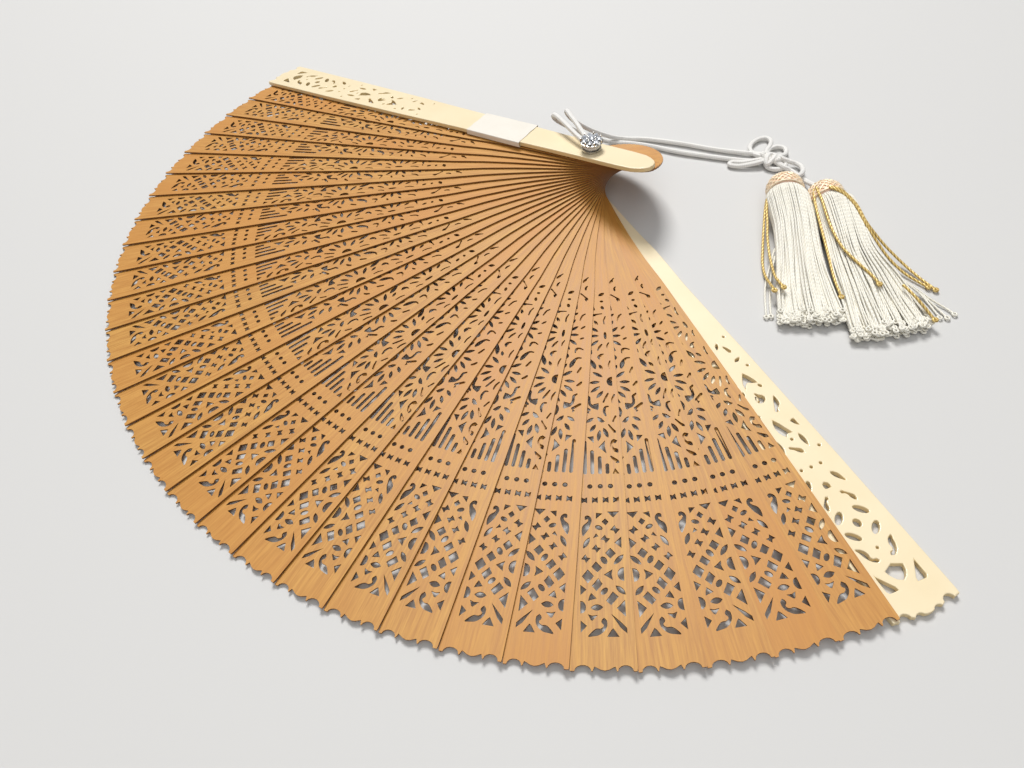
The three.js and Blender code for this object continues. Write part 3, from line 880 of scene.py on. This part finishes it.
def skin(work, rings, sides):
    """Adds the faces between neighbouring rings. A ring of one point is a tip."""
    for low, high in zip(rings, rings[1:]):
        for step in range(sides):
            ahead = (step + 1) % sides
            face = [low[step % len(low)], low[ahead % len(low)], high[ahead % len(high)], high[step % len(high)]]
            work.faces.new(list(dict.fromkeys(face)))


def lathe(work, profile, centre, segments):
    """Adds a closed turned body. Its profile, (radius, height) in mm, starts and ends on the axis."""
    rings = []
    for radius, height in profile:
        turns = [math.tau * step / segments for step in range(segments)] if radius else [0]
        reach, rise = radius * MM, Vector((0, 0, height * MM))
        flat = [Vector((reach * math.cos(a), reach * math.sin(a), 0)) for a in turns]
        rings.append([work.verts.new(centre + point + rise) for point in flat])
    skin(work, rings, segments)


def gem(work, centre, length, width, height, turn, sides=8):
    """Adds a cut stone: a flat table over slanting facets, drawn in again towards its foil underneath."""
    aim = Matrix.Rotation(turn, 3, "Z")
    rings = []
    for share, level in ((0.62, 0), (1.0, 0.45), (0.55, 1.0)):
        ring = []
        for step in range(sides):
            angle = math.tau * (step + 0.5) / sides
            flat = Vector((length / 2 * math.cos(angle), width / 2 * math.sin(angle), 0)) * share
            ring.append(work.verts.new(centre + aim @ flat + Vector((0, 0, height * level))))
        rings.append(ring)
    skin(work, rings, sides)
    work.faces.new(rings[-1])
    work.faces.new(rings[0][::-1])


def painted(name, work, finish):
    """A new piece from a bmesh, with its faces outwards and one finish."""
    mesh = bpy.data.meshes.new(name)
    turn_out(work, mesh)
    mesh.materials.append(finish)
    return link(name, mesh)


work = bmesh.new()
cap_foot = pivot + Vector((0, 0, CAP_BASE))
cup = [(0, 0), (4.1, 0), (4.5, 0.25), (4.6, 0.6), (4.3, 0.75), (3.9, 0.7), (2.2, 0.8), (1.9, 1.2), (0, 1.25)]
lathe(work, cup, cap_foot, 42)
for petal in range(PETALS):
    angle = math.tau * (petal + 0.5) / PETALS
    for reach, size in ((4.15, 0.34), (1.75, 0.30)):
        claw = Vector((math.cos(angle) * reach, math.sin(angle) * reach, 0)) * MM
        lathe(work, [(0, 0.3), (size, 0.3), (size, 1.5), (size * 0.8, 1.85), (0, 2.0)], cap_foot + claw, 10)
setting = painted("jewel_setting_claws", work, silver)
setting.data.shade_smooth()
setting.data.set_sharp_from_angle(angle=math.radians(35))
finish_piece(setting, "lower_guard", "silver", "jewel_setting")

work = bmesh.new()
for petal in range(PETALS):
    angle = math.tau * petal / PETALS
    spot = Vector((math.cos(angle) * PETAL_RING, math.sin(angle) * PETAL_RING, 0.95 * MM))
    gem(work, cap_foot + spot, 2.5 * MM, 1.9 * MM, 1.15 * MM, angle)
gem(work, cap_foot + Vector((0, 0, 1.4 * MM)), 2.9 * MM, 2.9 * MM, 1.5 * MM, 0, 10)
finish_piece(painted("jewel_stones", work, crystal), "lower_guard", "crystal", "jewel_stone")

# The bight of the cord round the rivet, held between the washer and the cap.
BIGHT_RADIUS = 2.62 * MM
BIGHT_HEIGHT = 27.1 * MM
turns = [math.radians(145 - 20 * step) for step in range(15)]
bight = [pivot + Vector((BIGHT_RADIUS * math.cos(a), BIGHT_RADIUS * math.sin(a), BIGHT_HEIGHT)) for a in turns]
bight[0] = Vector(STRAND_FRONT[0]) * MM
bight[-1] = Vector(STRAND_BACK[0]) * MM
cord_bight = thread_piece("cord_bight", [bight], CORD_RADIUS, 14, cord_finish)
finish_piece(cord_bight, "lower_guard", "cord")

# Knot: the two strands are interlaced into a flat button with four ears, as in a lucky knot. Two last
# turns lead out of it to the tails.
KNOT_CENTRE = (31.2, 158.9)
BUTTON_HALF = (3.9 * MM, 1.45 * MM)
BUTTON_WAVE = 0.75 * MM
KNOT_TURNS = [
    [(30.5, 157.7, 3.4), (27.2, 157.9, 2.6), (23.1, 158.2, 1.6), (19.7, 159.6, 1.2), (17.3, 162, 1.2),
     (16, 165.8, 1.2), (16.2, 169.8, 1.2), (18.1, 172.0, 1.3), (21.2, 170.9, 1.6), (24, 166.6, 2.2),
     (26.1, 162, 2.8), (30.1, 157.5, 3.8)],
    [(30.9, 158.1, 3.4), (26.9, 161.7, 2.6), (24.9, 166.5, 1.6), (25.4, 170.2, 1.2), (27.9, 171.5, 1.2),
     (30.6, 169.9, 1.4), (32.4, 166.1, 2.2), (32.1, 162, 3.0), (32.1, 158, 3.8)],
    [(31.7, 158.6, 3.6), (31, 156.2, 2.2), (32.8, 155.4, 1.3), (35.7, 156.2, 1.2), (37.5, 159.1, 1.2),
     (36.8, 162.1, 1.4), (34.9, 162.5, 2.6), (32.6, 159.4, 3.9)],
    [(31.4, 159, 3.2), (28.4, 152.6, 2.2), (24.6, 147.4, 1.3), (21.2, 145, 1.2), (20.3, 147, 1.2), (24, 150.8, 1.4),
     (29.6, 157.4, 3.0)],
    [(30.6, 157.4, 3.2), (33.2, 160.6, 3.6), (35.3, 162.8, 2.9), (37.4, 164.2, 2.3)],
    [(31, 159.4, 3.0), (34.6, 159.2, 3.1), (38.4, 159.3, 2.1)],
]
button = []
for turn, phase, height in ((18, 0, 3.5), (108, math.pi, 3.3)):
    aim = Matrix.Rotation(math.radians(turn), 3, "Z")
    loop = []
    for step in range(28):
        angle = math.tau * step / 28
        flat = aim @ Vector((BUTTON_HALF[0] * math.cos(angle), BUTTON_HALF[1] * math.sin(angle), 0))
        wave = Vector((0, 0, BUTTON_WAVE * math.cos(2 * angle + phase)))
        loop.append(Vector((*KNOT_CENTRE, height)) * MM + flat + wave)
    button.append(loop + [loop[0]])
knot_routes = [smooth_route([Vector(point) * MM for point in points], 7) for points in KNOT_TURNS]
knot = thread_piece("knot_woven", knot_routes + button, CORD_RADIUS, 12, cord_finish)
finish_piece(knot, "lower_guard", "cord", "knot")

# Tassels: each is a bundle of twisted cream silk threads. They are gathered under a domed crown, which
# is covered with a net of pink and gold thread. A few gold threads hang among the cream ones.
PLY_WINDING = 3600  # radians of twist to each metre of thread


def twisted_plies(nodes):
    """A mask that winds round a thread as its two plies do."""
    lay = nodes.stored("lay")
    angle_round = nodes.math("ARCTAN2", lay.part(1), lay.part(2))
    return (lay.part(0) * PLY_WINDING + angle_round * 2).sine() * 0.5 + 0.5


silk, nodes = new_finish("cream_silk")
plies = twisted_plies(nodes)
tint = nodes.coordinates().noise(220.0, 2.0)
silk_colour = tint.mix((0.80, 0.76, 0.64), (0.92, 0.90, 0.82))
# The grooves between the two plies are painted a darker cream: painted shade.
surface(
    nodes,
    Base_Color=(plies * 0.5 + 0.5).clamped().mix((0.66, 0.60, 0.47), silk_colour),
    Roughness=0.42,
    Sheen_Weight=0.3,
    Normal=nodes.bump(plies, 0.00012, 0.7),
)
gold_silk, nodes = new_finish("gold_silk")
plies = twisted_plies(nodes)
# The grooves between the two plies are painted dark brown-gold: painted shade.
surface(
    nodes,
    Base_Color=plies.mix((0.42, 0.25, 0.05), (0.86, 0.65, 0.24)),
    Roughness=0.34,
    Metallic=plies * 0.35,
    Normal=nodes.bump(plies, 0.00012, 0.8),
)
crown_cloth, nodes = new_finish("crown_cloth")
weave = nodes.coordinates().noise(1500.0, 3.0, 0.6)
surface(
    nodes,
    Base_Color=weave.mix((0.70, 0.36, 0.26), (0.92, 0.72, 0.56)),
    Roughness=0.6,
    Normal=nodes.bump(weave, 0.0001, 0.6),
)
net_thread, nodes = new_finish("net_thread")
metal_share = nodes.coordinates().noise(500.0, 2.0)
surface(
    nodes,
    Base_Color=metal_share.mix((0.88, 0.78, 0.66), (0.90, 0.66, 0.34)),
    Roughness=0.36,
    Metallic=(metal_share * 0.6 - 0.1).clamped(),
)

THREAD_RADIUS = 0.38 * MM
GOLD_RADIUS = 0.5 * MM
NET_RADIUS = 0.36 * MM
BUNDLE_START = 8.0
# Along the tassel from its crown: (distance, half height of the bundle)
BUNDLE_HEIGHT = [(8, 6.4), (12, 6.9), (20, 6.1), (35, 4.6), (50, 3.4), (65, 2.3), (80, 1.7)]
# The bundle's layers from outside in: (share of its size, threads)
SKIRT_LAYERS = [(1.0, 78), (0.84, 64), (0.62, 44), (0.36, 22)]
NET_THREADS = 18
NET_MARKS = 12
NET_TWIST = 1.5  # radians that a net thread goes round the crown


def between(table, where):
    """The value at a place in a table of (place, value), joined by straight lines."""
    for (start, first), (stop, second) in zip(table, table[1:]):
        if where <= stop:
            return first + (second - first) * max(0, where - start) / (stop - start)
    return table[-1][1]

def end_loop(route, side, size=0.75):
    """The small open loop that each twisted thread ends in, turned to one side."""
    aim = route[-1] - route[-2]
    aim = Vector((aim.x, aim.y, 0)).normalized()
    across = Vector((-aim.y, aim.x, 0)) * side
    centre = route[-1] + aim * size
    turns = [math.radians(-160 + 40 * step) for step in range(9)]
    return [centre + (aim * math.cos(a) + across * math.sin(a)) * size for a in turns]


def crown_place(crown, angle):
    """The frame of a tassel: its origin is the middle of the crown's top, and +X runs along the skirt."""
    return Matrix.Translation(Vector(crown) * MM) @ Matrix.Rotation(math.radians(angle), 4, "Z")


def to_world(crown, angle, route):
    place = crown_place(crown, angle)
    return [place @ Vector((point[0] * MM, point[1] * MM, (point[2] - crown[2]) * MM)) for point in route]


def skirt_thread(edges, reach, spot, layer, rng):
    """One thread, in mm along and across the tassel. spot is its angle round the bundle."""
    across = math.sin(spot) * layer
    upward = math.cos(spot) * layer
    drift = rng.uniform(-0.16, 0.16) + 0.05 * math.sin(23 * across + 2 * layer)
    finish = reach(across) + rng.uniform(-3.6, 1.3)
    sway, start_phase, rise = rng.uniform(-1, 1), rng.uniform(0, math.tau), rng.uniform(-1, 1)
    route = []
    for step in range(17):
        t = step / 16
        u = BUNDLE_START + (finish - BUNDLE_START) * t
        low, high = between(edges[0], u), between(edges[1], u)
        place = max(-1, min(1, across + drift * t**1.7))
        v = (low + high) / 2 + (high - low) / 2 * place
        v += sway * 0.9 * math.sin(5 * t + start_phase) * t * (1.15 - t)
        height = between(BUNDLE_HEIGHT, u)
        z = height + 0.45 + height * upward * (1 - 0.2 * t) + rise * 0.5 * t * math.sin(4 * t + start_phase)
        route.append(Vector((u, v, max(z, 0.45))))
    return smooth_route(route, 2) + end_loop(route, rng.choice((-1, 1)))


def stray_thread(places, rng):
    """A thread that has left the bundle and lies on the table beside it."""
    route = smooth_route([Vector(place) for place in places], 4)
    return route + end_loop(route, rng.choice((-1, 1)))


CROWN_PROFILE = [
    (0, 0), (2.6, 0.15), (4.6, 0.8), (6.0, 2.0), (6.8, 3.8), (7.0, 5.6), (7.0, 8.4), (6.2, 9.8), (0, 10.0),
]
TASSELS = [
    {
        "crown": (49.2, 144.4, 7.4),
        "angle": -44,
        "edges": (
            [(8, -6.6), (11, -7.8), (18, -6.8), (27, -5.7), (40, -5.7), (50, -6.3), (60, -7.3), (78, -7.8)],
            [(8, 6.8), (11, 8.4), (18, 9.2), (27, 9.7), (40, 10), (50, 10.8), (60, 12.2), (75, 14.4)],
        ),
        "reach": lambda across: 73.4 - 1.4 * across - 0.8 * across**2,
        "strays": [
            [(37.7, -6.2, 3.6), (45.7, -8.4, 2.4), (55, -10.6, 1.2), (62.2, -11.3, 0.6), (70.9, -11.6, 0.6)],
            [(41.3, -6.3, 3.0), (49.9, -8.2, 1.8), (57, -9.2, 0.9), (63.7, -9.7, 0.6), (70.5, -10.0, 0.6)],
        ],
        "gold": [
            [(12, -7.6, 7.4), (17, -8.4, 6.0), (22.8, -9, 4.4), (30.1, -9.7, 3.0), (37.4, -10.3, 1.8),
             (43.5, -10.7, 1.2), (50.6, -10.5, 1.6), (56.1, -9.7, 3.0), (61.2, -8.8, 4.6)],
            [(12, -7.4, 8.2), (17, -8.0, 7.0), (24.4, -8.1, 5.6), (32.3, -8.6, 4.8), (42.5, -8.5, 4.0),
             (53.7, -8.0, 4.8), (58.3, -7.2, 5.8), (61.4, -6.1, 6.4)],
        ],
    },
    {
        "crown": (62.2, 150.8, 7.4),
        "angle": -31,
        "edges": (
            [(8, -6.6), (12, -7.0), (17, -7.2), (29, -8.3), (39, -10), (48, -11.4), (56, -12.4), (75, -15)],
            [(8, 6.8), (11, 9.2), (17, 9.3), (30, 8.2), (38, 8.2), (44, 9.4), (49, 10.6), (56, 11.4), (75, 13.4)],
        ),
        "reach": lambda across: 74.2 - 0.9 * across - 1.1 * across**2,
        "strays": [
            [(36, 6.4, 5.0), (43.9, 9.1, 4.4), (49.8, 11.4, 3.2), (55.5, 15.6, 2), (60.6, 18.9, 1.0),
             (65.1, 22, 0.6), (68.2, 23.5, 0.6)],
            [(36, 6.6, 4.6), (44.9, 9.4, 4.2), (50.3, 11.4, 3.0), (55.8, 15.6, 1.6), (61.3, 18.2, 0.8),
             (66.2, 19.6, 0.6), (69.4, 20.4, 0.6)],
            [(40, 7.0, 4.0), (50, 10, 3.6), (53.7, 13.6, 2.4), (58, 16.4, 1.2), (62.8, 17.6, 0.6), (68.8, 18.1, 0.6)],
        ],
        "gold": [
            [(4.6, -5.2, 11.8), (8, -6.2, 11.0), (12.3, -7.0, 10.0), (20, -8.0, 8.6), (30, -9.3, 7.0),
             (39, -10.7, 6.0), (48.5, -12.2, 5.0), (56.8, -12.8, 4.3)],
            [(5, -4.6, 12.7), (9, -5.0, 12.8), (13.6, -5.5, 12.8), (21.4, -6.4, 11.8), (28.4, -6.6, 10.5),
             (37.6, -6, 9.4), (45.2, -3.3, 8.4), (51.7, -0.4, 7.4), (55.4, 0.5, 7.0)],
            [(8.4, -0.5, 14.8), (10.4, 1.8, 14.8), (13, 4.2, 13.7), (18, 6.6, 11.9), (25, 7.8, 9.6),
             (29.4, 10.5, 6.6), (34.5, 13.2, 4.2), (42.1, 17.3, 1.6), (49.7, 20.2, 0.9), (55.6, 22.7, 0.8)],
            [(8.6, -1.4, 14.8), (11, 0.8, 14.9), (13.6, 3.2, 14.1), (18.6, 5.8, 12.3), (25.7, 7.0, 9.9),
             (30.2, 8.6, 7.6), (34.2, 10.2, 5.4), (39.6, 12.4, 3.0), (46.2, 15.7, 1.2), (51.8, 19.1, 0.9),
             (54, 20.6, 0.9)],
            [(58, 8.2, 7.0), (60.2, 9, 6.9), (66.1, 11, 6.0), (72.5, 13.5, 3.8)],
        ],
    },
]
tassel_pieces = []
for number, tassel in enumerate(TASSELS, start=1):
    rng = random.Random(40 + number)
    crown, angle = tassel["crown"], tassel["angle"]
    name = "tassel_" + str(number)
    routes = []
    for layer, count in SKIRT_LAYERS:
        for step in range(count):
            spot = math.tau * (step + rng.uniform(-0.35, 0.35)) / count
            routes.append(skirt_thread(tassel["edges"], tassel["reach"], spot, layer, rng))
    routes += [stray_thread(stray, rng) for stray in tassel["strays"]]
    skirt_routes = [to_world(crown, angle, route) for route in routes]
    skirt = thread_piece(name + "_threads", skirt_routes, THREAD_RADIUS, 6, silk)

    golden = []
    for gold in tassel["gold"]:
        route = smooth_route([Vector(point) for point in gold], 7)
        golden.append(to_world(crown, angle, route + end_loop(route, 1, 0.7)))
    gold_threads = thread_piece(name + "_gold", golden, GOLD_RADIUS, 8, gold_silk)
    work = bmesh.new()
    work.from_mesh(skirt.data)
    cream_faces = len(work.faces)
    work.from_mesh(gold_threads.data)
    work.faces.ensure_lookup_table()
    for face in work.faces[cream_faces:]:
        face.material_index = 1
    work.to_mesh(skirt.data)
    work.free()
    skirt.data.materials.append(gold_silk)
    bpy.data.objects.remove(gold_threads)
    finish_piece(skirt, "lower_guard", "tassel_thread", name + "_skirt")

    # The crown: a padded dome on its side, and two sets of slanting threads that cross over it.
    tip = crown_place(crown, angle) @ Matrix.Rotation(math.radians(90), 4, "Y")
    work = bmesh.new()
    lathe(work, CROWN_PROFILE, Vector(), 40)
    work.transform(tip)
    dome = painted(name + "_crown", work, crown_cloth)
    dome.data.shade_smooth()
    finish_piece(dome, "lower_guard", "tassel_cap", name + "_cap")
    heights = [(height, radius) for radius, height in CROWN_PROFILE[:-2]]
    net = []
    for slant in (1, -1):
        for step in range(NET_THREADS):
            thread = []
            for mark in range(NET_MARKS + 1):
                t = mark / NET_MARKS
                height = 0.45 + 8.2 * t**1.25
                spot = math.tau * step / NET_THREADS + slant * NET_TWIST * t
                radius = between(heights, height) + 0.12 + 0.1 * slant * math.cos(mark * math.pi)
                thread.append(tip @ (Vector((radius * math.cos(spot), radius * math.sin(spot), height)) * MM))
            net.append(thread)
    for height in (0.6, 8.7):
        radius = between(heights, height) + 0.2
        spots = [math.tau * step / 40 for step in range(41)]
        net.append([tip @ (Vector((radius * math.cos(a), radius * math.sin(a), height)) * MM) for a in spots])
    net_piece = thread_piece(name + "_net", net, NET_RADIUS, 6, net_thread)
    finish_piece(net_piece, "lower_guard", "tassel_cap")
    tassel_pieces.append([dome, net_piece])

# Studio: a plain pale floor and soft light, the strongest from high at the far left so that each blade's
# raised edge shades the next one.
FLOOR_REACH = 3
FLOOR_HEIGHT = -0.0002
corners = [(x * FLOOR_REACH, y * FLOOR_REACH, FLOOR_HEIGHT) for x, y in ((-1, -1), (1, -1), (1, 1), (-1, 1))]
floor = link("floor", bpy.data.meshes.new("floor"))
floor.data.from_pydata(corners, [], [(0, 1, 2, 3)])
paper_floor, nodes = new_finish("pale_floor")
surface(nodes, Base_Color=(0.58, 0.57, 0.55), Roughness=0.7)
floor.data.materials.append(paper_floor)
# (name, place, size, power)
LIGHTS = [
    ("key", (-1.1, 0.7, 1.9), 0.75, 52.0),
    ("front", (0.7, -0.6, 1.0), 0.9, 5.5),
    ("top", (0.1, 0.1, 1.3), 1.0, 3.0),
]
for name, place, size, power in LIGHTS:
    light_data = bpy.data.lights.new(name, "AREA")
    light_data.size = size
    light_data.energy = power
    light = link(name, light_data)
    light.location = place
    light.rotation_mode = "QUATERNION"
    light.rotation_quaternion = Vector(place).to_track_quat("Z", "Y")
world = bpy.data.worlds.new("studio")
world.use_nodes = True
background = world.node_tree.nodes["Background"].inputs
background["Color"].default_value = (0.9, 0.93, 1, 1)
background["Strength"].default_value = 0.2
bpy.context.scene.world = world

tassel_pieces[0] += [knot, cord_bight]
for (cord, route), pieces in zip(cords, tassel_pieces):
    route_length(route)
